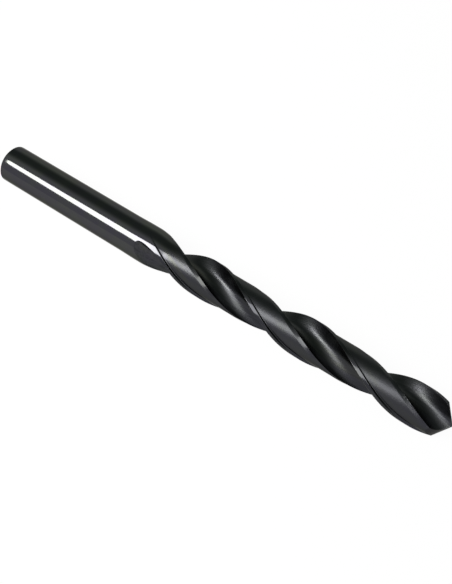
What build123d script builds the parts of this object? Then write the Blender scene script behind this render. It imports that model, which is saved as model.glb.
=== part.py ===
# A straight-shank, two-flute, right-hand twist drill, ground from one bar of steel.
# It is made upright, from the centre of its shank end, then laid on its side on the plane Z = 0,
# with its axis along +X towards the point. Lengths are in millimetres, angles in degrees.
import os
from math import cos, degrees, pi, radians, sin, sqrt, tan

from build123d import *

# Driving dimensions of the blank
drill_diameter = 10.2
overall_length = 133.0
shank_diameter = 10.05
shank_chamfer = 0.6
shoulder_length = 5.0

# Driving dimensions of the flutes
flute_length = 87.5
helix_angle = 28.8
web_thickness = 1.65
web_taper = 0.003
wheel_radius = 19.0

# Driving dimensions of the flute's profile across the axis: where it passes the cutting corner,
# the web and the heel, how it slopes there, and how long it keeps near that slope
corner_position = 28.5
corner_slope = 36.5
corner_reach = 3.2
corner_overrun = 0.2
web_slope = 15.5
web_reach = 1.35
hollow_reach = 0.65
heel_position = 123.0
heel_slope = 94.0
heel_reach = 1.7

# Driving dimensions of the lands
margin_width = 1.0
land_diameter = 8.92
heel_bevel_width = 1.0
heel_bevel_depth = 0.18
relief_start = 85.5
relief_ramp = 6.2
bevel_ramp = 6.0

# Driving dimensions of the point
point_angle = 118.0
lip_relief_angle = 13.0
flank_radius = 8.5

# How the drill lies: its turn about its own axis, from lips that stand upright
lying_turn = -25.6

# How finely the twisted shapes are sampled
twist_step = 20.0
runout_steps = 5

# Worked out from the values above
drill_radius = drill_diameter / 2
land_radius = land_diameter / 2
heel_radius = land_radius - heel_bevel_depth
heel_bevel_angle = degrees(heel_bevel_width / land_radius)
half_point = radians(point_angle / 2)
pitch = pi * drill_diameter / tan(radians(helix_angle))
twist_rate = 360 / pitch
tool_radius = 1.25 * drill_radius
flute_middle = (corner_position + heel_position) / 2
crest = web_thickness / 2 + flank_radius * sin(radians(lip_relief_angle))
lip_drop = flank_radius * (1 - cos(radians(lip_relief_angle)))
chisel_drop = flank_radius - lip_drop - sqrt(flank_radius**2 - crest**2)
apex = overall_length + chisel_drop / sin(half_point)


def turned(x, y, angle):
    """A point across the axis, turned about the axis."""
    a = radians(angle)
    return (x * cos(a) - y * sin(a), x * sin(a) + y * cos(a))


def moved(point, distance, angle):
    """A point across the axis, moved by a distance in a direction."""
    x, y = turned(distance, 0, angle)
    return (point[0] + x, point[1] + y)


def twisted(outline, z):
    """An outline across the axis, lifted to height z and turned as the flutes are there."""
    return outline.rotate(Axis.Z, twist_rate * (z - apex)).translate((0, 0, z))


def stations(bottom, top):
    """Heights at which a twisted shape is sampled, evenly spaced."""
    count = max(2, round((top - bottom) * twist_rate / twist_step))
    return [bottom + (top - bottom) * i / count for i in range(count + 1)]


def web_at(z):
    """The web thickens from the point towards the shank."""
    return web_thickness + web_taper * (overall_length - z)


def flute_profile(web):
    """The flute's profile: straight in to the corner, the face down to the web, the hollow."""
    corner = moved(turned(drill_radius, 0, corner_position), corner_overrun, corner_slope)
    bottom = turned(web / 2, 0, 90 - web_slope)
    heel = turned(heel_radius, 0, heel_position)
    outside = moved(corner, tool_radius - drill_radius, corner_slope)
    return [
        Line(outside, corner),
        Bezier(
            corner,
            moved(corner, -corner_reach, corner_slope),
            moved(bottom, web_reach, -web_slope),
            bottom,
        ),
        Bezier(
            bottom,
            moved(bottom, -hollow_reach, -web_slope),
            moved(heel, -heel_reach, heel_slope),
            heel,
        ),
    ]


def runout_length():
    """The height over which the grinding wheel leaves the bar."""
    depth = drill_radius - web_at(overall_length - flute_length) / 2
    along_flute = sqrt(2 * wheel_radius * depth - depth**2)
    return along_flute * cos(radians(helix_angle))


def wheel_lift(z):
    """How far the wheel has risen out of the flute at height z."""
    full_depth_end = overall_length - flute_length + runout_length()
    past = max(0.0, full_depth_end - z) / cos(radians(helix_angle))
    return wheel_radius - sqrt(max(0.0, wheel_radius**2 - past**2))


def flute_section(z):
    """The outline that the wheel clears across the axis at height z, closed outside the bar."""
    profile = flute_profile(web_at(z))
    outer = turned(tool_radius, 0, heel_position)
    top = turned(2 * tool_radius, 0, flute_middle)
    closing = Polyline(profile[-1] @ 1, outer, top, profile[0] @ 0)
    shift = turned(wheel_lift(z), 0, flute_middle)
    return twisted(Wire(profile + closing.edges()).translate((shift[0], shift[1], 0)), z)


def make_flute():
    """The room that one flute takes, with the wheel's run-out at its lower end."""
    flute_end = overall_length - flute_length
    full_depth_end = flute_end + runout_length()
    lowest = flute_end - 0.15 * runout_length()
    drop = full_depth_end - lowest
    runout = [lowest + drop * i / runout_steps for i in range(runout_steps)]
    heights = runout + stations(full_depth_end, overall_length + 1)
    return Solid.make_loft([flute_section(z) for z in heights])


def bevel_section(z):
    """The corner that the heel bevel takes off: it runs in slowly, then keeps its size."""
    start = overall_length - relief_start + relief_ramp
    share = min(1.0, (z - start) / bevel_ramp)
    width = heel_bevel_angle
    clear = (1 - share) * heel_bevel_depth
    first = turned(land_radius - heel_bevel_depth + clear, 0, heel_position)
    last = turned(land_radius + clear, 0, heel_position + width)
    points = [
        (first[0] - (last[0] - first[0]), first[1] - (last[1] - first[1])),
        (last[0] + (last[0] - first[0]), last[1] + (last[1] - first[1])),
        turned(2 * tool_radius, 0, heel_position + width),
        turned(2 * tool_radius, 0, heel_position - width),
    ]
    return twisted(Wire(Polyline(*points, close=True).edges()), z)


def make_bevel():
    """The bevel along one heel, from the end of the relief's ramp to the point."""
    start = overall_length - relief_start + relief_ramp
    full = start + bevel_ramp
    heights = [start, start + bevel_ramp / 2] + stations(full, overall_length + 1)
    return Solid.make_loft([bevel_section(z) for z in heights])


def margin_section(z):
    """A strip that holds one margin, from behind the step to just ahead of the cutting corner."""
    back = corner_position - degrees(margin_width / drill_radius)
    ahead = corner_position + 10
    inner = 2 * land_radius - drill_radius
    points = [
        turned(inner, 0, back),
        turned(tool_radius, 0, back),
        turned(tool_radius, 0, ahead),
        turned(inner, 0, ahead),
    ]
    return twisted(Wire(Polyline(*points, close=True).edges()), z)


def make_margin():
    """The strip that carries one margin, trimmed to the drill's diameter."""
    bottom = overall_length - relief_start
    strip = Solid.make_loft([margin_section(z) for z in stations(bottom, overall_length)])
    height = overall_length - bottom
    base = (Align.CENTER, Align.CENTER, Align.MIN)
    return Pos(0, 0, bottom) * Cylinder(drill_radius, height, align=base) & strip


def make_blank():
    """Shank, shoulder and relieved body, turned as one bar."""
    shank_radius = shank_diameter / 2
    body_start = overall_length - flute_length
    ramp_start = overall_length - relief_start
    profile = Polyline(
        (0, 0),
        (shank_radius - shank_chamfer, 0),
        (shank_radius, shank_chamfer),
        (shank_radius, body_start - shoulder_length),
        (drill_radius, body_start),
        (drill_radius, ramp_start),
        (land_radius, ramp_start + relief_ramp),
        (land_radius, overall_length),
        (0, overall_length),
        close=True,
    )
    return revolve(Plane.XZ * make_face(profile), Axis.Z)


def make_flank():
    """The room under one ground flank: a cylinder that lies along the lip."""
    reach = 2 * overall_length
    profile = Polyline(
        (crest - flank_radius, lip_drop - flank_radius),
        (crest - flank_radius, -reach),
        (crest + flank_radius, -reach),
        (crest + flank_radius, lip_drop - flank_radius),
    )
    arch = ThreePointArc(
        (crest + flank_radius, lip_drop - flank_radius),
        (crest, lip_drop),
        (crest - flank_radius, lip_drop - flank_radius),
    )
    lip_direction = (sin(half_point), 0, -cos(half_point))
    across_lip = Plane(origin=(0, 0, apex), x_dir=(0, 1, 0), z_dir=lip_direction)
    return extrude(across_lip * make_face([profile, arch]), reach, both=True)


def make_drill():
    """The bar with its margins, less the flutes, ground to its point."""
    half_turn = Rot(0, 0, 180)
    margin, flute, bevel, flank = make_margin(), make_flute(), make_bevel(), make_flank()
    body = make_blank() + margin + half_turn * margin
    body = body - [bevel, half_turn * bevel]
    body = body - [flute, half_turn * flute]
    return body & flank & half_turn * flank


def lay_down(upright):
    """The drill on its side, with the lowest point of its margins on the plane Z = 0."""
    return Pos(-overall_length / 2, 0, drill_radius) * Rot(lying_turn, 0, 0) * Rot(0, 90, 0) * upright


os.makedirs("parts", exist_ok=True)
drill = lay_down(make_drill())
export_step(drill, "parts/drill_bit.step")
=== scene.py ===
# A black twist drill lying on a pale table: a fine mesh of the ground form, its material, the
# table, the camera and the lights. Lengths are in metres. Positions and slopes across the axis are
# in degrees, like every angle given to turned, on_circle and around_axis; the rest are in radians.
from math import atan2, cos, degrees, pi, radians, sin, sqrt, tan

import bmesh
import bpy
import numpy as np
from mathutils import Matrix, Vector


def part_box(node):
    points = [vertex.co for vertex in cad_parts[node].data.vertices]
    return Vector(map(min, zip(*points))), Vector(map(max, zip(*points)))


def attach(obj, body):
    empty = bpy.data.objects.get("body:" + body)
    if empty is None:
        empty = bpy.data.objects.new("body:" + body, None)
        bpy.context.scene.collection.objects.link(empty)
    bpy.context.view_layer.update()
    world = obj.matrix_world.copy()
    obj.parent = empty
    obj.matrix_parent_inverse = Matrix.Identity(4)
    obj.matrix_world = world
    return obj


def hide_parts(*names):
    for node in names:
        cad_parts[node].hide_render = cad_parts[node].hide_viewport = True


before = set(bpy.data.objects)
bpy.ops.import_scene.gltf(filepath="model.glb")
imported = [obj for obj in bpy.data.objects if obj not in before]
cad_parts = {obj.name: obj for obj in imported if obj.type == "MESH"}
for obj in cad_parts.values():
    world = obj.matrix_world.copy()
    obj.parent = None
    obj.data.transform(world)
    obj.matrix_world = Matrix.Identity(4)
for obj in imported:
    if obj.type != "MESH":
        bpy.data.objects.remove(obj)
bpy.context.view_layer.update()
mm = 0.001

# The drill's length, radius and axis, from the frame's own box
low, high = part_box("drill_bit")
length = high[0] - low[0]
radius = (high[2] - low[2]) / 2
axis_y = (low[1] + high[1]) / 2
axis_z = low[2] + radius

# The shank
shank_radius = 5.025 * mm
shank_bevel = 0.6 * mm
shoulder_length = 5.0 * mm

# The flutes
flute_length = 87.5 * mm
helix_angle = radians(28.8)
web_thickness = 1.65 * mm
web_taper = 0.003
wheel_radius = 19.0 * mm

# The flute's profile across the axis
corner_position = 28.5
corner_slope = 36.5
corner_reach = 3.2 * mm
corner_overrun = 0.2 * mm
web_slope = 15.5
web_reach = 1.35 * mm
hollow_reach = 0.65 * mm
heel_position = 123.0
heel_slope = 94.0
heel_reach = 1.7 * mm

# The lands
margin_width = 1.0 * mm
land_radius = 4.46 * mm
heel_bevel_width = 1.0 * mm
heel_bevel_depth = 0.18 * mm
relief_start = 85.5 * mm
relief_ramp = 6.2 * mm
bevel_ramp = 6.0 * mm
step_lean = 1.2

# The point
half_point = radians(59.0)
lip_relief = radians(13.0)
flank_radius = 8.5 * mm

# How the drill lies
lying_turn = radians(-25.6)

# How far the edges are rounded, and the angle from which an edge stays sharp
face_rounding = 0.2 * mm
face_rounding_inset = 0.12 * mm
bevel_top_rounding = 0.03 * mm
edge_rounding = 0.05 * mm
heel_bevel_rounding = 0.12 * mm
foot_rounding = 0.22 * mm
step_rounding = 0.1 * mm
rounding_limit = 0.35
sharp_from = radians(38)

# How the mesh is divided across the axis
face_columns = 34
land_columns = 26
margin_columns = 8
rounding_columns = 4
curve_points = 160
wall_points = 40

# How it is divided along the axis: the end face and its bevel, as shares of their sizes, the
# plain shank, the flutes' front and run-out, the body and the point
end_face_shares = (0.35, 0.75)
face_rounding_rings = 4
bevel_angle = radians(45)
bevel_shares = (0.5, 0.85)
bevel_top_shares = (1.05, 1.35)
shank_ring_heights = [z * mm for z in (3, 8, 14, 20, 26, 32, 37)]
shoulder_rings = 14
front_search_reach = 4 * mm
front_search_steps = 40
front_gap = 0.03 * mm
front_length = 3 * mm
front_rings = 30
runout_ring_start = 3.15 * mm
runout_ring_end = 20 * mm
runout_ring_spacing = 0.17 * mm
body_ring_spacing = 0.32 * mm
tip_length = 11 * mm
tip_ring_count = 45
tip_samples = 90
point_reach = 6.5 * mm
point_samples = 66

# Small limits of the mesh, so that nothing in it has no size
just_inside = 0.9999
least_flute = 1e-6
least_bevel_share = 0.04
just_past = 0.002 * mm
tiny = 1e-9

# The steel's colours
violet = (0.056, 0.055, 0.062)
olive = (0.059, 0.061, 0.059)
blue_grey = (0.036, 0.037, 0.041)
olive_grey = (0.041, 0.043, 0.035)
streak_black = (0.024, 0.026, 0.025)
flank_black = (0.034, 0.033, 0.038)
bare_steel = (0.42, 0.42, 0.43)
edge_tint = (0.5, 0.5, 0.48)
fluted_share = 0.75
streak_share = 0.5
flank_share = 0.8

# Its patterns: features per metre and levels of detail
cloud_noise = (260, 3)
hue_noise = (420, 2)
streak_noise = (2600, 4)
speckle_noise = (5200, 2)
cluster_noise = (240, 1)
gloss_noise = (900, 4)
turning_noise = (9000, 2)
helical_noise = (4200, 3)
grain_noise = (3400, 2)

# How far some are drawn out, along the helix or round the drill, as the scale left in that direction
hue_stretch = 0.08
streak_stretch = 0.05
helical_stretch = 0.12
turning_stretch = 0.02

# The values of each pattern at which it starts and is full
cloud_range = (0.35, 0.65)
hue_range = (0.5, 0.75)
streak_range = (0.35, 0.7)
speckle_range = (0.53, 0.63)
cluster_range = (0.48, 0.6)
gloss_range = (0.3, 0.7)

# Where the finish changes along the drill, measured from the point
fluted_range = (-85 * mm, -77 * mm)
near_tip_range = (-45 * mm, -4 * mm)
coarse_range = (-50 * mm, -10 * mm)
nick_range = (-28 * mm, -4 * mm)
land_finish_delay = 4 * mm

# Its roughness and relief
glossy, less_glossy = 0.07, 0.1
extra_roughness = {"fluted": 0.05, "on_land": 0.19, "in_flute": 0.17, "near_tip": 0.06, "on_flank": 0.2}
far_nicks = 0.12
lone_nicks = 0.08
tip_coarseness = 2.4
turning_depth = 0.15
bump_depth = 0.012 * mm

# The table
table_reach = 4.0
table_colour = (0.8, 0.8, 0.8)
table_roughness = 0.9
table_whiteness = 0.96

# The camera: its place from the point, its direction, and its focal length in the photo's pixels
camera_offset = Vector((9.48, -99.70, 185.72)) * mm
camera_azimuth = radians(35.69)
camera_elevation = radians(56.62)
focal_pixels = 910.8
frame_pixels = 584
sensor_width = 36.0
nearest_seen = 0.01

# The room
front_wall = (0.80, 0.79, 0.88)
back_wall = (0.84, 0.89, 0.80)
wall_range = (-0.6, 0.3)
dark_ceiling = (0.17, 0.205, 0.18)
ceiling_elevation = radians(55)
ceiling_range = (0.72, 1.0)

# The window: its angle round the drill's axis, its two stretches and their light
window_angle = 53
window_far_x, window_far_distance = -0.66, 0.72
window_bend_x, window_near_x, window_distance = -0.155, 0.07, 0.35
window_width = 0.2
window_colour = (1.0, 1.0, 0.95)
window_radiance = 18.0
dim_end_radiance = 5.6

# Worked out from the values above
pitch = pi * 2 * radius / tan(helix_angle)
twist_rate = 360 / pitch
flute_middle = (corner_position + heel_position) / 2
heel_radius = land_radius - heel_bevel_depth
heel_bevel_angle = degrees(heel_bevel_width / land_radius)
margin_angle = degrees(margin_width / radius)
outside_reach = 0.2 * radius
outside_radius = 1.25 * radius
crest = web_thickness / 2 + flank_radius * sin(lip_relief)
lip_drop = flank_radius * (1 - cos(lip_relief))
chisel_drop = flank_radius - lip_drop - sqrt(flank_radius**2 - crest**2)
apex = length + chisel_drop / sin(half_point)


def turned(points, angle):
    """Points across the axis, turned about it by an angle in degrees."""
    a = np.radians(angle)
    x, y = points[..., 0], points[..., 1]
    return np.stack([x * np.cos(a) - y * np.sin(a), x * np.sin(a) + y * np.cos(a)], -1)


def on_circle(r, angle):
    """Points across the axis at a radius and an angle in degrees."""
    r = np.asarray(r, float)
    return turned(np.stack([r, np.zeros_like(r)], -1), angle)


def arc(r, start, end, count):
    """Points of an arc about the axis between two angles."""
    return on_circle(np.full(count, r), np.linspace(start, end, count))


def smooth(t):
    """A share from 0 to 1 with soft ends."""
    t = np.clip(t, 0, 1)
    return t * t * (3 - 2 * t)


def web_at(z):
    """The web thickens from the point towards the shank."""
    return web_thickness + web_taper * (length - z)


def bezier(a, b, c, d):
    """Points of a cubic curve, without its first one."""
    u = np.linspace(0, 1, curve_points)[1:, None]
    return (1 - u) ** 3 * a + 3 * u * (1 - u) ** 2 * b + 3 * u**2 * (1 - u) * c + u**3 * d


def flute_curve(z):
    """One flute's full profile at height z, from outside the corner round to outside the heel."""
    corner = on_circle(radius, corner_position) + on_circle(corner_overrun, corner_slope)
    outside = corner + on_circle(np.linspace(outside_reach, 0, wall_points), corner_slope)
    bottom = on_circle(web_at(z) / 2, 90 - web_slope)
    heel = on_circle(heel_radius, heel_position)
    along_web = on_circle(1, -web_slope)
    face = bezier(
        corner, corner - on_circle(corner_reach, corner_slope), bottom + web_reach * along_web, bottom
    )
    hollow = bezier(
        bottom, bottom - hollow_reach * along_web, heel - on_circle(heel_reach, heel_slope), heel
    )
    beyond = on_circle(outside_radius, heel_position)
    wall = heel + np.linspace(0, 1, wall_points)[1:, None] * (beyond - heel)
    return np.concatenate([outside, face, hollow, wall])


flute_end = length - flute_length
runout_depth = radius - web_at(flute_end) / 2
runout = sqrt(2 * wheel_radius * runout_depth - runout_depth**2) * cos(helix_angle)
full_depth_end = flute_end + runout


def wheel_lift(z):
    """How far the grinding wheel has risen out of the flute at height z."""
    past = max(0.0, full_depth_end - z) / cos(helix_angle)
    return wheel_radius - sqrt(wheel_radius**2 - past**2)


def body_radius(z):
    """Radius of the shank, shoulder and margins at height z."""
    share = smooth((z - (flute_end - shoulder_length)) / shoulder_length)
    return shank_radius + (radius - shank_radius) * share


def relief_share(z):
    """How much of the land's relief is there at height z."""
    return float(smooth((z - (length - relief_start)) / relief_ramp))


def bevel_share(z):
    """How much of the heel bevel is there at height z."""
    start = length - relief_start + relief_ramp
    return float(smooth((z - start) / bevel_ramp))


def land_at(z):
    """Radius of the lands at height z."""
    return body_radius(z) - relief_share(z) * (radius - land_radius)


def crossing(curve, limit, rising):
    """Place along a curve, as an index with a fraction, where it passes a radius."""
    r = np.hypot(curve[:, 0], curve[:, 1])
    inside = np.flatnonzero(r < limit)
    if len(inside) == 0:
        return None
    i = inside[-1] if rising else inside[0] - 1
    return i + (limit - r[i]) / (r[i + 1] - r[i])


def along(curve, places):
    """Points of a curve at given indices with fractions."""
    index = np.arange(len(curve))
    return np.stack([np.interp(places, index, curve[:, k]) for k in (0, 1)], -1)


def lengths_along(curve):
    """The distance along a curve from its start to each of its points."""
    return np.concatenate([[0], np.cumsum(np.hypot(*np.diff(curve, axis=0).T))])


def chisel_x(y):
    """Where the two flanks meet, as x for a given y."""
    near = np.sqrt(flank_radius**2 - (y - crest) ** 2)
    far = np.sqrt(flank_radius**2 - (y + crest) ** 2)
    return (near - far) / (2 * cos(half_point))


def chisel_share():
    """Share of the flute's profile, by length, from the corner to the chisel edge's end."""
    curve = flute_curve(length)
    first = crossing(curve, radius, rising=False)
    last = crossing(curve, heel_radius * just_inside, rising=True)
    near_axis = np.flatnonzero(np.hypot(curve[:, 0], curve[:, 1]) < web_thickness)
    near = curve[near_axis]
    meeting = near_axis[np.argmin(np.abs(near[:, 0] - chisel_x(near[:, 1])))]
    start, end, chisel_end = np.interp(
        [first, last, meeting], np.arange(len(curve)), lengths_along(curve)
    )
    return (chisel_end - start) / (end - start)


split = chisel_share()
shares = np.concatenate([
    np.linspace(0, split, face_columns),
    np.linspace(split, 1, face_columns)[1:],
])
flute_columns = len(shares) - 2


def rounded(before, point, after, size):
    """A corner replaced by a short curve."""
    into, out = before - point, after - point
    into_length, out_length = np.hypot(*into), np.hypot(*out)
    start = point + into / max(into_length, tiny) * min(size, rounding_limit * into_length)
    end = point + out / max(out_length, tiny) * min(size, rounding_limit * out_length)
    u = np.linspace(0, 1, rounding_columns)[:, None]
    return (1 - u) ** 2 * start + 2 * u * (1 - u) * point + u**2 * end


def flute_part(z):
    """The flute's stretch of the outline at height z, or nothing where the wheel is clear."""
    curve = flute_curve(z) + on_circle(wheel_lift(z), flute_middle)
    heel_side = land_at(z) - heel_bevel_depth * bevel_share(z)
    first = crossing(curve, body_radius(z), rising=False)
    last = crossing(curve, heel_side * just_inside, rising=True)
    if first is None or last is None or last - first < least_flute:
        return None
    lengths = lengths_along(curve)
    index = np.arange(len(curve))
    start, end = np.interp([first, last], index, lengths)
    return along(curve, np.interp(start + (end - start) * shares, lengths, index))


def half_ring(z):
    """Half of the outline at height z, in the flutes' own turning frame: flute, then land."""
    flute = flute_part(z)
    corner_at, heel_at = (degrees(atan2(y, x)) for x, y in (flute[0], flute[-1]))
    bevel_end = heel_at + heel_bevel_angle * max(least_bevel_share, bevel_share(z))
    step_at = corner_position + 180 - margin_angle
    land = arc(land_at(z), bevel_end, step_at - step_lean, land_columns)
    margin = arc(body_radius(z), step_at, corner_at + 180, margin_columns)
    return np.concatenate([
        flute[1:-1],
        rounded(flute[-2], flute[-1], land[0], edge_rounding),
        rounded(flute[-1], land[0], land[1], heel_bevel_rounding),
        land[1:-1],
        rounded(land[-2], land[-1], margin[0], foot_rounding),
        rounded(land[-1], margin[0], margin[1], step_rounding),
        margin[1:-1],
        rounded(margin[-2], margin[-1], turned(flute[1], 180), edge_rounding),
    ])


def full_ring(z):
    """The whole outline at height z, turned as the flutes are there."""
    half = half_ring(z)
    return turned(np.concatenate([half, turned(half, 180)]), twist_rate * (z - apex))


def lifted(ring, z):
    """A ring's points across the axis, at height z."""
    return np.column_stack([ring, np.full(len(ring), z)])


def flank_height(x, y):
    """Height of one ground flank over a place across the axis."""
    arch = np.sqrt(flank_radius**2 - (y - crest) ** 2)
    return apex + (lip_drop - flank_radius + arch - x * cos(half_point)) / sin(half_point)


def tip_height(x, y):
    """Height of the ground point over a place across the axis."""
    return np.minimum(flank_height(x, y), flank_height(-x, -y))


def tip_heights():
    """The height at which each column runs into the ground point."""
    samples = np.linspace(length - point_reach, apex, point_samples)
    rings = np.stack([full_ring(z) for z in samples])
    gap = tip_height(rings[..., 0], rings[..., 1]) - samples[:, None]
    heights = []
    for column in gap.T:
        i = np.flatnonzero(column < 0)[0]
        share = column[i - 1] / (column[i - 1] - column[i])
        heights.append(samples[i - 1] + (samples[i] - samples[i - 1]) * share)
    return np.array(heights)


def front_height():
    """The lowest height that the wheel still reaches."""
    bottom, top = flute_end - front_search_reach, full_depth_end
    for _ in range(front_search_steps):
        middle = (bottom + top) / 2
        if flute_part(middle) is None:
            bottom = middle
        else:
            top = middle
    return top


def shank_profile():
    """Heights and radii of the shank's first rings: the end face, its rounded edge, the bevel."""
    flat = shank_radius - shank_bevel
    rounding_start = flat - face_rounding_inset
    rows = [(0.0, flat * share) for share in end_face_shares]
    for angle in np.linspace(0, bevel_angle, face_rounding_rings + 1):
        rows.append((face_rounding * (1 - cos(angle)), rounding_start + face_rounding * sin(angle)))
    rows += [(shank_bevel * share, flat + shank_bevel * share) for share in bevel_shares]
    rows.append((shank_bevel * bevel_top_shares[0], shank_radius - bevel_top_rounding))
    rows.append((shank_bevel * bevel_top_shares[1], shank_radius))
    return rows


def plain_rings(front, angles):
    """The rings of the shank and shoulder, up to the flutes' front."""
    shoulder = np.linspace(flute_end - shoulder_length, front - front_gap, shoulder_rings)
    rows = shank_profile()
    rows += [(z, shank_radius) for z in shank_ring_heights]
    rows += [(z, body_radius(z)) for z in (*shoulder, front)]
    return [lifted(on_circle(np.full(len(angles), r), angles), z) for z, r in rows]


def fluted_rings(front):
    """The rings from the flutes' front, closest together there, up to the stretch of the point."""
    start = front + front_length * (np.arange(1, front_rings + 1) / front_rings) ** 2
    runout_part = np.arange(front + runout_ring_start, front + runout_ring_end, runout_ring_spacing)
    body = np.arange(front + runout_ring_end, length - tip_length, body_ring_spacing)
    return [lifted(full_ring(z), z) for z in np.concatenate([start, runout_part, body])]


def tip_rings(base):
    """Rings from a height up, which lean more and more until the last one lies on the point."""
    ends = tip_heights()
    samples = np.linspace(base, apex, tip_samples)
    sampled = np.stack([full_ring(z) for z in samples])
    rings = []
    for step in np.linspace(0, 1, tip_ring_count + 1)[1:]:
        heights = base + (ends - base) * step
        ring = np.zeros((len(ends), 3))
        for j, height in enumerate(heights):
            ring[j, :2] = [np.interp(height, samples, sampled[:, j, k]) for k in (0, 1)]
        ring[:, 2] = heights
        rings.append(ring)
    return rings


def build_rings():
    """All the rings from the shank's end to the point, and how many of them are plain."""
    front = front_height()
    first = full_ring(front + just_past)
    rings = plain_rings(front, np.degrees(np.arctan2(first[:, 1], first[:, 0])))
    plain_count = len(rings)
    rings += fluted_rings(front)
    rings += tip_rings(rings[-1][0, 2])
    return np.array(rings), plain_count


def placed(points):
    """Points of the upright drill, laid down where the frame has it."""
    turn = Matrix.Rotation(lying_turn, 3, "X") @ Matrix.Rotation(pi / 2, 3, "Y")
    return points @ np.array(turn).T + np.array([low[0], axis_y, axis_z])


def on_both_halves(columns, half):
    """Columns of half the outline, and the same ones of its other half."""
    return [start + j for start in (0, half) for j in columns]


def number_rings(rings, plain_count):
    """Vertices, and their numbers in every ring; on plain rings a flute's columns share one."""
    vertices = []
    numbers = np.zeros(rings.shape[:2], int)
    shared = set(on_both_halves(range(1, flute_columns), rings.shape[1] // 2))
    for i, ring in enumerate(rings):
        for j, point in enumerate(ring):
            if i < plain_count and j in shared:
                numbers[i, j] = numbers[i, j - 1]
            else:
                numbers[i, j] = len(vertices)
                vertices.append(point)
    return vertices, numbers


def skin_faces(numbers):
    """Faces between neighbouring rings and columns, without the ones that have no width."""
    faces = []
    for lower, upper in zip(numbers[:-1], numbers[1:]):
        for j in range(len(lower)):
            k = (j + 1) % len(lower)
            corners = list(dict.fromkeys([lower[j], lower[k], upper[k], upper[j]]))
            if len(corners) > 2:
                faces.append(corners)
    return faces


def flank_grid(points, lip, back, heel, chisel):
    """Places across the axis between a lip, the back of its land and the heel side."""
    rows = len(lip)
    v = ((np.arange(len(back)) + 1) / (len(back) + 1))[:, None]
    grid = []
    for i in range(1, rows):
        u = i / rows
        across = (1 - v) * points[lip[i]] + v * points[heel[i]]
        lengthwise = (1 - u) * chisel + u * points[back]
        at_chisel = (1 - v) * points[lip[0]] + v * points[heel[0]]
        at_back = (1 - v) * points[lip[-1]] + v * points[heel[-1]]
        grid.append(across + lengthwise - (1 - u) * at_chisel - u * at_back)
    return grid


def add_tip_points(vertices, places):
    """Adds the ground point's vertices over places across the axis, and gives their numbers."""
    first = len(vertices)
    vertices.extend(np.array([x, y, float(tip_height(x, y))]) for x, y in places)
    return list(range(first, len(vertices)))


def close_point(vertices, faces, ring, numbers):
    """The two ground flanks, as grids that share the chisel edge."""
    count = len(ring)
    half = count // 2
    end = face_columns - 2
    across = ring[:, :2]
    back_size = half - flute_columns
    y = np.linspace(across[end, 1], -across[end, 1], back_size + 2)[1:-1]
    chisel = np.column_stack([chisel_x(y), y])
    chisel_numbers = add_tip_points(vertices, chisel)
    sides = ((0, chisel, chisel_numbers), (half, chisel[::-1], chisel_numbers[::-1]))
    for start, line, line_numbers in sides:
        lip = [(start + i) % count for i in range(end, -1, -1)]
        back = [(start - 1 - i) % count for i in range(back_size)]
        heel = [(start + half + i) % count for i in range(end, flute_columns)]
        rows = [[numbers[lip[0]], *line_numbers, numbers[heel[0]]]]
        for i, places in enumerate(flank_grid(across, lip, back, heel, line), 1):
            rows.append([numbers[lip[i]], *add_tip_points(vertices, places), numbers[heel[i]]])
        for lower, upper in zip(rows[:-1], rows[1:]):
            for k in range(len(lower) - 1):
                faces.append([lower[k], lower[k + 1], upper[k + 1], upper[k]])
        outer = [numbers[b] for b in back]
        last = rows[-1]
        faces.append([last[0], last[1], outer[0]])
        for k in range(len(outer) - 1):
            faces.append([last[k + 1], last[k + 2], outer[k + 1], outer[k]])
        faces.append([last[-2], last[-1], outer[-1]])


def close_end_face(vertices, faces, numbers):
    """The middle of the shank's end face."""
    middle = len(vertices)
    vertices.append(np.zeros(3))
    inner = list(dict.fromkeys(numbers))
    for j, number in enumerate(inner):
        faces.append([middle, inner[(j + 1) % len(inner)], number])


def make_mesh(vertices, faces):
    """A smooth mesh of the lying drill, with its sharp edges kept and its faces outwards."""
    mesh = bpy.data.meshes.new("drill")
    mesh.from_pydata([tuple(p) for p in placed(np.array(vertices))], [], faces)
    mesh.validate()
    cleaned = bmesh.new()
    cleaned.from_mesh(mesh)
    bmesh.ops.recalc_face_normals(cleaned, faces=cleaned.faces)
    cleaned.to_mesh(mesh)
    cleaned.free()
    mesh.shade_smooth()
    mesh.set_sharp_from_angle(angle=sharp_from)
    return mesh


def everywhere(z):
    """The full weight at every height."""
    return 1.0


def land_finish(z):
    """How much of the lands' duller finish is there at height z: it starts after their relief."""
    return relief_share(z - land_finish_delay)


def ring_zone(vertices, numbers, columns, weight):
    """A weight by height on some columns of both halves of the outline, and none elsewhere."""
    values = np.zeros(len(vertices))
    for row in numbers:
        for j in on_both_halves(columns, numbers.shape[1] // 2):
            values[row[j]] = weight(vertices[row[j]][2])
    return values


def surface_zones(vertices, fluted, flank_vertices):
    """The flutes, lands, worn edges and ground flanks, each as a value from 0 to 1 per vertex."""
    half = fluted.shape[1] // 2
    land_start = flute_columns + rounding_columns
    land_end = land_start + 2 * rounding_columns + land_columns - 2
    edges = [*range(flute_columns, land_start), *range(half - rounding_columns, half)]
    zones = {
        "in_flute": ring_zone(vertices, fluted, range(flute_columns), everywhere),
        "on_land": ring_zone(vertices, fluted, range(land_start, land_end), land_finish),
        "edge": ring_zone(vertices, fluted, edges, everywhere),
        "on_flank": np.zeros(len(vertices)),
    }
    zones["edge"][fluted[-1]] = 1.0
    zones["on_flank"][flank_vertices] = 1.0
    return zones


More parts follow.
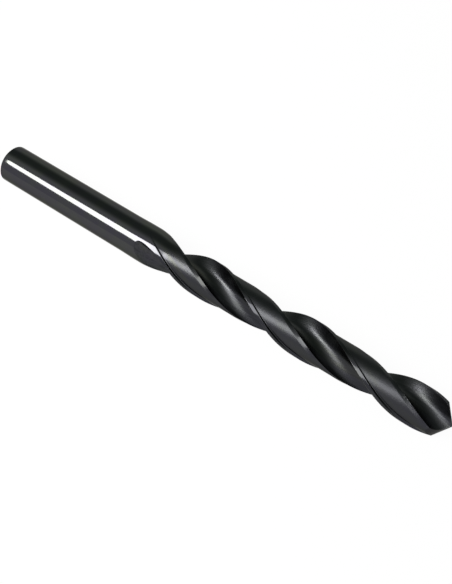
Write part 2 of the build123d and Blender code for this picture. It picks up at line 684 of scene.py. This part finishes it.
def make_drill():
    """The drill as one closed mesh, which carries the zones of its surface."""
    rings, plain_count = build_rings()
    vertices, numbers = number_rings(rings, plain_count)
    faces = skin_faces(numbers)
    side_count = len(vertices)
    close_point(vertices, faces, rings[-1], numbers[-1])
    flank_vertices = slice(side_count, len(vertices))
    close_end_face(vertices, faces, numbers[0])
    mesh = make_mesh(vertices, faces)
    for name, values in surface_zones(vertices, numbers[plain_count:], flank_vertices).items():
        zone = mesh.attributes.new(name, "FLOAT", "POINT")
        zone.data.foreach_set("value", values)
    drill = bpy.data.objects.new("drill", mesh)
    bpy.context.collection.objects.link(drill)
    return drill


def node(tree, kind, **sockets):
    """A new shader node; keys are its input names with underscores for spaces."""
    made = tree.nodes.new("ShaderNode" + kind)
    for name, value in sockets.items():
        made.inputs[name.replace("_", " ")].default_value = value
    return made


def compute(tree, operation, first, second):
    """A sum, product or other simple result of two values or outputs."""
    made = tree.nodes.new("ShaderNodeMath")
    made.operation = operation
    for socket, value in zip(made.inputs, (first, second)):
        if isinstance(value, (int, float)):
            socket.default_value = value
        else:
            tree.links.new(value, socket)
    return made.outputs[0]


def vector_math(tree, operation, vector, values=None):
    """A vector node on an output and, where the operation has one, a fixed second vector."""
    made = tree.nodes.new("ShaderNodeVectorMath")
    made.operation = operation
    tree.links.new(vector, made.inputs[0])
    if values is not None:
        made.inputs[1].default_value = values
    return made


def scaled(tree, vector, x, y, z):
    """A vector stretched along each axis."""
    return vector_math(tree, "MULTIPLY", vector, (x, y, z)).outputs["Vector"]


def part_of(tree, vector, name):
    """One component of a vector."""
    made = tree.nodes.new("ShaderNodeSeparateXYZ")
    tree.links.new(vector, made.inputs["Vector"])
    return made.outputs[name]


def remap(tree, value, ends, low_end=0, high_end=1):
    """A value's range carried over to another range, softly and without leaving it."""
    made = node(tree, "MapRange", From_Min=ends[0], From_Max=ends[1], To_Min=low_end, To_Max=high_end)
    made.interpolation_type = "SMOOTHSTEP"
    tree.links.new(value, made.inputs["Value"])
    return made.outputs["Result"]


def noise(tree, vector, pattern):
    """A soft random pattern from 0 to 1."""
    scale, detail = pattern
    made = node(tree, "TexNoise", Scale=scale, Detail=detail)
    tree.links.new(vector, made.inputs["Vector"])
    return made.outputs["Fac"]


def mixed(tree, share, first, second):
    """Two colours mixed by a share."""
    made = tree.nodes.new("ShaderNodeMix")
    made.data_type = "RGBA"
    tree.links.new(share, made.inputs["Factor"])
    for name, colour in (("A", first), ("B", second)):
        if isinstance(colour, tuple):
            made.inputs[name].default_value = (*colour, 1)
        else:
            tree.links.new(colour, made.inputs[name])
    return made.outputs["Result"]


def zone_of(tree, name):
    """A zone of the drill's surface, as a value from 0 to 1."""
    made = tree.nodes.new("ShaderNodeAttribute")
    made.attribute_name = name
    return made.outputs["Fac"]


def drill_vectors(tree):
    """Positions from the point, plain and untwisted along the flutes' helix, and the plain x."""
    coordinates = tree.nodes.new("ShaderNodeTexCoord").outputs["Object"]
    plain = vector_math(tree, "SUBTRACT", coordinates, (high[0], axis_y, axis_z)).outputs["Vector"]
    untwist = tree.nodes.new("ShaderNodeVectorRotate")
    untwist.rotation_type = "X_AXIS"
    tree.links.new(plain, untwist.inputs["Vector"])
    x = part_of(tree, plain, "X")
    tree.links.new(compute(tree, "MULTIPLY", x, -radians(twist_rate)), untwist.inputs["Angle"])
    return plain, untwist.outputs["Vector"], x


def nicks(tree, plain, x, worn):
    """Where small nicks bare the steel: in clusters on the edges, more of them near the point."""
    speckle = remap(tree, noise(tree, plain, speckle_noise), speckle_range)
    bare = compute(tree, "MULTIPLY", worn, speckle)
    bare = compute(tree, "MULTIPLY", bare, remap(tree, x, nick_range, far_nicks, 1))
    clusters = remap(tree, noise(tree, plain, cluster_noise), cluster_range, lone_nicks, 1)
    return compute(tree, "MULTIPLY", bare, clusters)


def oxide_colour(tree, plain, untwisted, x, zones):
    """Violet and olive clouds, darker greys on the fluted part, and bare nicks on its edges."""
    cloud = remap(tree, noise(tree, plain, cloud_noise), cloud_range)
    colour = mixed(tree, cloud, violet, olive)
    hue = noise(tree, scaled(tree, untwisted, hue_stretch, 1, 1), hue_noise)
    fluted_colour = mixed(tree, remap(tree, hue, hue_range), blue_grey, olive_grey)
    colour = mixed(tree, compute(tree, "MULTIPLY", zones["fluted"], fluted_share), colour, fluted_colour)
    streaks = noise(tree, scaled(tree, untwisted, streak_stretch, 1, 1), streak_noise)
    streaks = remap(tree, streaks, streak_range, 0, streak_share)
    colour = mixed(tree, compute(tree, "MULTIPLY", zones["in_flute"], streaks), colour, streak_black)
    colour = mixed(tree, compute(tree, "MULTIPLY", zones["on_flank"], flank_share), colour, flank_black)
    return mixed(tree, nicks(tree, plain, x, zones["edge"]), colour, bare_steel)


def oxide_roughness(tree, plain, zones):
    """Glossy on the shank, duller in each zone of the fluted part."""
    rough = remap(tree, noise(tree, plain, gloss_noise), gloss_range, glossy, less_glossy)
    for name, extra in extra_roughness.items():
        rough = compute(tree, "ADD", rough, compute(tree, "MULTIPLY", zones[name], extra))
    return rough


def oxide_relief(tree, plain, untwisted, x, zones):
    """Turning marks all over, helical marks and grain in the flutes, and grain at the point."""
    around = noise(tree, scaled(tree, plain, 1, turning_stretch, turning_stretch), turning_noise)
    helical = noise(tree, scaled(tree, untwisted, helical_stretch, 1, 1), helical_noise)
    grain = noise(tree, plain, grain_noise)
    coarser = compute(tree, "MULTIPLY", grain, remap(tree, x, coarse_range, 1, tip_coarseness))
    in_flute = compute(tree, "MULTIPLY", compute(tree, "ADD", helical, coarser), zones["in_flute"])
    height = compute(tree, "ADD", compute(tree, "MULTIPLY", around, turning_depth), in_flute)
    last_land = compute(tree, "MULTIPLY", zones["on_land"], zones["near_tip"])
    at_point = compute(tree, "MAXIMUM", zones["on_flank"], last_land)
    return compute(tree, "ADD", height, compute(tree, "MULTIPLY", coarser, at_point))


def black_oxide():
    """Ground tool steel with a black oxide surface: glossy shank, finely grained flutes."""
    material = bpy.data.materials.new("black_oxide_steel")
    material.use_nodes = True
    tree = material.node_tree
    shader = tree.nodes["Principled BSDF"]
    shader.inputs["Metallic"].default_value = 1.0
    shader.inputs["Specular Tint"].default_value = (*edge_tint, 1)
    plain, untwisted, x = drill_vectors(tree)
    zones = {name: zone_of(tree, name) for name in ("in_flute", "on_land", "on_flank", "edge")}
    zones["fluted"] = remap(tree, x, fluted_range)
    zones["near_tip"] = remap(tree, x, near_tip_range)
    tree.links.new(oxide_colour(tree, plain, untwisted, x, zones), shader.inputs["Base Color"])
    tree.links.new(oxide_roughness(tree, plain, zones), shader.inputs["Roughness"])
    bump = node(tree, "Bump", Strength=1.0, Distance=bump_depth)
    tree.links.new(oxide_relief(tree, plain, untwisted, x, zones), bump.inputs["Height"])
    tree.links.new(bump.outputs["Normal"], shader.inputs["Normal"])
    return material


def pale_table():
    """Matt and pale, but white to the camera and in the steel's reflections."""
    material = bpy.data.materials.new("pale_table")
    material.use_nodes = True
    tree = material.node_tree
    shader = tree.nodes["Principled BSDF"]
    shader.inputs["Base Color"].default_value = (*table_colour, 1)
    shader.inputs["Roughness"].default_value = table_roughness
    path = tree.nodes.new("ShaderNodeLightPath")
    white = node(tree, "Emission", Color=(1, 1, 1, 1), Strength=1.0)
    seen = compute(tree, "MAXIMUM", path.outputs["Is Camera Ray"], path.outputs["Is Glossy Ray"])
    mix = tree.nodes.new("ShaderNodeMixShader")
    tree.links.new(compute(tree, "MULTIPLY", seen, table_whiteness), mix.inputs["Fac"])
    tree.links.new(shader.outputs["BSDF"], mix.inputs[1])
    tree.links.new(white.outputs["Emission"], mix.inputs[2])
    tree.links.new(mix.outputs["Shader"], tree.nodes["Material Output"].inputs["Surface"])
    return material


def make_table():
    """The table that the drill lies on."""
    mesh = bpy.data.meshes.new("table")
    reach, z = table_reach, low[2]
    corners = [(-reach, -reach, z), (reach, -reach, z), (reach, reach, z), (-reach, reach, z)]
    mesh.from_pydata(corners, [], [(0, 1, 2, 3)])
    mesh.materials.append(pale_table())
    table = bpy.data.objects.new("table", mesh)
    bpy.context.collection.objects.link(table)
    return table


def make_camera():
    """The photograph's view of the drill."""
    azimuth, elevation = camera_azimuth, camera_elevation
    forward = Vector((-sin(azimuth) * cos(elevation), cos(azimuth) * cos(elevation), -sin(elevation)))
    data = bpy.data.cameras.new("camera")
    data.sensor_width = sensor_width
    data.lens = focal_pixels * sensor_width / frame_pixels
    data.clip_start = nearest_seen
    camera = bpy.data.objects.new("camera", data)
    camera.location = Vector((high[0], axis_y, axis_z)) + camera_offset
    camera.rotation_euler = forward.to_track_quat("-Z", "Y").to_euler()
    bpy.context.collection.objects.link(camera)
    bpy.context.scene.camera = camera


def make_world():
    """A pale room with a dark ceiling towards the back; white where the camera looks past the table."""
    world = bpy.data.worlds.new("room")
    bpy.context.scene.world = world
    world.use_nodes = True
    tree = world.node_tree
    direction = tree.nodes.new("ShaderNodeTexCoord").outputs["Generated"]
    walls = mixed(tree, remap(tree, part_of(tree, direction, "Y"), wall_range), front_wall, back_wall)
    across = vector_math(tree, "NORMALIZE", scaled(tree, direction, 0, 1, 1)).outputs["Vector"]
    to_ceiling = (0, cos(ceiling_elevation), sin(ceiling_elevation))
    towards_dark = vector_math(tree, "DOT_PRODUCT", across, to_ceiling).outputs["Value"]
    room = mixed(tree, remap(tree, towards_dark, ceiling_range), walls, dark_ceiling)
    path = tree.nodes.new("ShaderNodeLightPath")
    colour = mixed(tree, path.outputs["Is Camera Ray"], room, (1, 1, 1))
    background = tree.nodes["Background"]
    tree.links.new(colour, background.inputs["Color"])
    background.inputs["Strength"].default_value = 1.0


def around_axis(x, angle, distance):
    """A place beside the drill's axis; the angle rises from the front over the top to the back."""
    return Vector((x, -cos(radians(angle)) * distance, axis_z + sin(radians(angle)) * distance))


def add_panel(name, left, right, radiance):
    """A rectangular lamp of even radiance between two places, turned to face the drill's axis."""
    span = right - left
    middle = (left + right) / 2
    inward = Vector((middle.x, 0, axis_z)) - middle
    side = span.normalized()
    facing = (inward - side * inward.dot(side)).normalized()
    data = bpy.data.lights.new(name, "AREA")
    data.shape = "RECTANGLE"
    data.size = span.length
    data.size_y = window_width
    data.energy = radiance * pi * span.length * window_width
    data.color = window_colour
    lamp = bpy.data.objects.new(name, data)
    axes = Matrix((side, (-facing).cross(side), -facing)).transposed()
    lamp.matrix_world = Matrix.Translation(middle) @ axes.to_4x4()
    bpy.context.collection.objects.link(lamp)


def make_lamps():
    """A long window in front of the drill, dimmer towards the point."""
    far_end = around_axis(window_far_x, window_angle, window_far_distance)
    bend = around_axis(window_bend_x, window_angle, window_distance)
    near_end = around_axis(window_near_x, window_angle, window_distance)
    add_panel("window", far_end, bend, window_radiance)
    add_panel("window_dim_end", bend, near_end, dim_end_radiance)


drill = make_drill()
drill.data.materials.append(black_oxide())
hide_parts("drill_bit")
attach(drill, "root")
make_table()
make_camera()
make_world()
make_lamps()
bpy.context.scene.view_settings.view_transform = "Standard"
